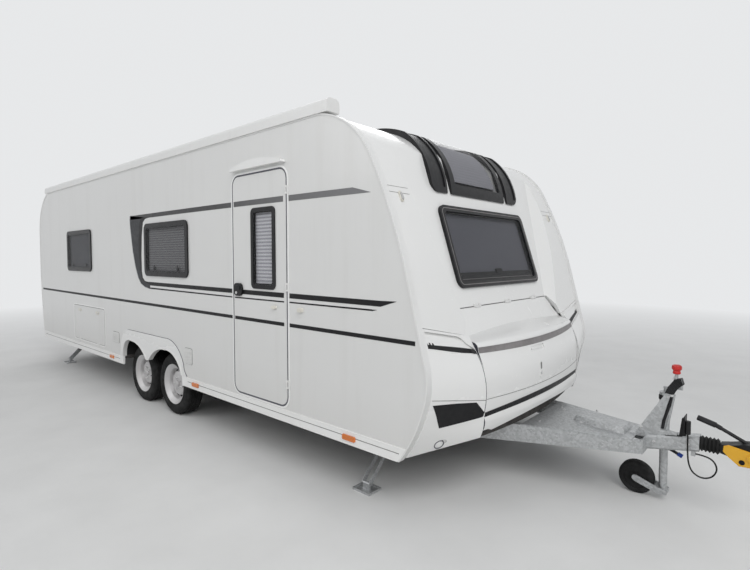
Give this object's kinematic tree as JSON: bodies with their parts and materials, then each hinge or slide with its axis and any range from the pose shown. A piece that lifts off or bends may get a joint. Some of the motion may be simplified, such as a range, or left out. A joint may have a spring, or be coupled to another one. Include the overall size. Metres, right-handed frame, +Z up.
{
  "type": "travel caravan",
  "caption": "Long white twin-axle travel caravan with sloping front, panoramic skylight, entry door, gas locker lid, drawbar, jockey wheel and corner steadies.",
  "frame": {"origin": "centre of the bounding box on the ground", "axes": "+X forward to the tow coupling, +Y to the left side, +Z up"},
  "size_m": [8.542, 2.5525, 2.5545],
  "materials": {
    "black_plastic": "satin",
    "black_rubber": "matte",
    "black_steel": "satin",
    "galvanised_steel": "matte",
    "grey_board": "matte",
    "knob_red": "satin",
    "lamp_orange": "gloss",
    "lamp_red": "gloss",
    "lock_yellow": "satin",
    "moulded_white": "gloss",
    "rim_silver": "satin",
    "tinted_pane": "gloss",
    "trim_white": "satin",
    "tyre_rubber": "matte",
    "wall_white": "gloss"
  },
  "bodies": {
    "caravan": {"awning_cassette": "trim_white", "axles": "galvanised_steel", "bellows": "black_rubber", "cable": "black_rubber", "chassis_rails": "galvanised_steel", "corner_module_left": "moulded_white", "corner_module_right": "moulded_white", "coupling_head": "black_steel", "drawbar_cover": "galvanised_steel", "drawbar_rails": "galvanised_steel", "edge_trims": "trim_white", "floor": "grey_board", "front_panel": "moulded_white", "handbrake_knob": "knob_red", "handbrake_lever": "galvanised_steel", "hinge_pins": "galvanised_steel", "hitch_lock": "lock_yellow", "jockey_tube": "galvanised_steel", "locker_bulkhead": "grey_board", "marker_lamps": "lamp_orange", "overrun_housing": "galvanised_steel", "plug_holder": "black_rubber", "rear_lamps": "lamp_red", "rear_panel": "moulded_white", "roof": "wall_white", "rooflights": "moulded_white", "side_mouldings": "moulded_white", "side_wall_left": "wall_white", "side_wall_right": "wall_white", "skirt_rails": "trim_white", "skylight_hood": "black_plastic", "steady_brackets": "galvanised_steel", "wheel_boxes": "black_rubber", "window_frames": "black_plastic", "window_panes": "tinted_pane"},
    "entry_door": {"door_handle": "black_plastic", "door_panel": "wall_white", "door_window_frame": "black_plastic", "door_window_pane": "tinted_pane"},
    "front_lid": {"gas_locker_lid": "moulded_white"},
    "hatch": {"service_hatch": "wall_white"},
    "wheel_front_right": {"tyre_front_right": "tyre_rubber", "rim_front_right": "rim_silver"},
    "wheel_front_left": {"tyre_front_left": "tyre_rubber", "rim_front_left": "rim_silver"},
    "wheel_rear_right": {"tyre_rear_right": "tyre_rubber", "rim_rear_right": "rim_silver"},
    "wheel_rear_left": {"tyre_rear_left": "tyre_rubber", "rim_rear_left": "rim_silver"},
    "leg_front_right": {"steady_leg_front_right": "galvanised_steel"},
    "strut_front_right": {"steady_strut_front_right": "galvanised_steel"},
    "leg_front_left": {"steady_leg_front_left": "galvanised_steel"},
    "strut_front_left": {"steady_strut_front_left": "galvanised_steel"},
    "leg_rear_right": {"steady_leg_rear_right": "galvanised_steel"},
    "strut_rear_right": {"steady_strut_rear_right": "galvanised_steel"},
    "leg_rear_left": {"steady_leg_rear_left": "galvanised_steel"},
    "strut_rear_left": {"steady_strut_rear_left": "galvanised_steel"},
    "jockey_slider": {"jockey_column": "galvanised_steel"},
    "jockey_swivel": {"jockey_fork": "galvanised_steel"},
    "jockey_roller": {"jockey_wheel": "black_rubber"}
  },
  "joints": [
    {"name": "door_hinge", "type": "hinge", "parent": "caravan", "child": "entry_door", "pos_m": [1.657, -1.259, 1.32], "axis": [0, 0, 1], "range_deg": [0, 170]},
    {"name": "lid_hinge", "type": "hinge", "parent": "caravan", "child": "front_lid", "pos_m": [2.711, 0, 1.205], "axis": [0, -1, 0], "range_deg": [0, 75]},
    {"name": "hatch_hinge", "type": "hinge", "parent": "caravan", "child": "hatch", "pos_m": [-2.2815, -1.256, 0.502], "axis": [1, 0, 0], "range_deg": [0, 110]},
    {"name": "spin_front_right", "type": "hinge", "parent": "caravan", "child": "wheel_front_right", "pos_m": [-0.241, -1.085, 0.298], "axis": [0, 1, 0], "continuous": true},
    {"name": "spin_front_left", "type": "hinge", "parent": "caravan", "child": "wheel_front_left", "pos_m": [-0.241, 1.085, 0.298], "axis": [0, 1, 0], "continuous": true},
    {"name": "spin_rear_right", "type": "hinge", "parent": "caravan", "child": "wheel_rear_right", "pos_m": [-0.927, -1.085, 0.298], "axis": [0, 1, 0], "continuous": true},
    {"name": "spin_rear_left", "type": "hinge", "parent": "caravan", "child": "wheel_rear_left", "pos_m": [-0.927, 1.085, 0.298], "axis": [0, 1, 0], "continuous": true},
    {"name": "steady_front_right", "type": "hinge", "parent": "caravan", "child": "leg_front_right", "pos_m": [2.239, -0.72, 0.385], "axis": [-1, 0, 0], "range_deg": [0, 37]},
    {"name": "stay_front_right", "type": "hinge", "parent": "leg_front_right", "child": "strut_front_right", "pos_m": [2.239, -0.89, 0.215], "axis": [-1, 0, 0], "range_deg": [-74, 0]},
    {"name": "steady_front_left", "type": "hinge", "parent": "caravan", "child": "leg_front_left", "pos_m": [2.239, 0.72, 0.385], "axis": [1, 0, 0], "range_deg": [0, 37]},
    {"name": "stay_front_left", "type": "hinge", "parent": "leg_front_left", "child": "strut_front_left", "pos_m": [2.239, 0.89, 0.215], "axis": [1, 0, 0], "range_deg": [-74, 0]},
    {"name": "steady_rear_right", "type": "hinge", "parent": "caravan", "child": "leg_rear_right", "pos_m": [-3.701, -0.72, 0.385], "axis": [-1, 0, 0], "range_deg": [0, 37]},
    {"name": "stay_rear_right", "type": "hinge", "parent": "leg_rear_right", "child": "strut_rear_right", "pos_m": [-3.701, -0.89, 0.215], "axis": [-1, 0, 0], "range_deg": [-74, 0]},
    {"name": "steady_rear_left", "type": "hinge", "parent": "caravan", "child": "leg_rear_left", "pos_m": [-3.701, 0.72, 0.385], "axis": [1, 0, 0], "range_deg": [0, 37]},
    {"name": "stay_rear_left", "type": "hinge", "parent": "leg_rear_left", "child": "strut_rear_left", "pos_m": [-3.701, 0.89, 0.215], "axis": [1, 0, 0], "range_deg": [-74, 0]},
    {"name": "jockey_height", "type": "slide", "parent": "caravan", "child": "jockey_slider", "axis": [0, 0, 1], "range_m": [0, 0.11]},
    {"name": "jockey_turn", "type": "hinge", "parent": "jockey_slider", "child": "jockey_swivel", "pos_m": [3.734, 0.095, 0.056], "axis": [0, 0, 1], "continuous": true},
    {"name": "jockey_spin", "type": "hinge", "parent": "jockey_swivel", "child": "jockey_roller", "pos_m": [3.584, 0.095, 0.105], "axis": [0, 1, 0], "continuous": true}
  ],
  "couplings": [
    {"joint": "stay_front_right", "follows": "steady_front_right", "ratio": -2},
    {"joint": "stay_front_left", "follows": "steady_front_left", "ratio": -2},
    {"joint": "stay_rear_right", "follows": "steady_rear_right", "ratio": -2},
    {"joint": "stay_rear_left", "follows": "steady_rear_left", "ratio": -2}
  ]
}
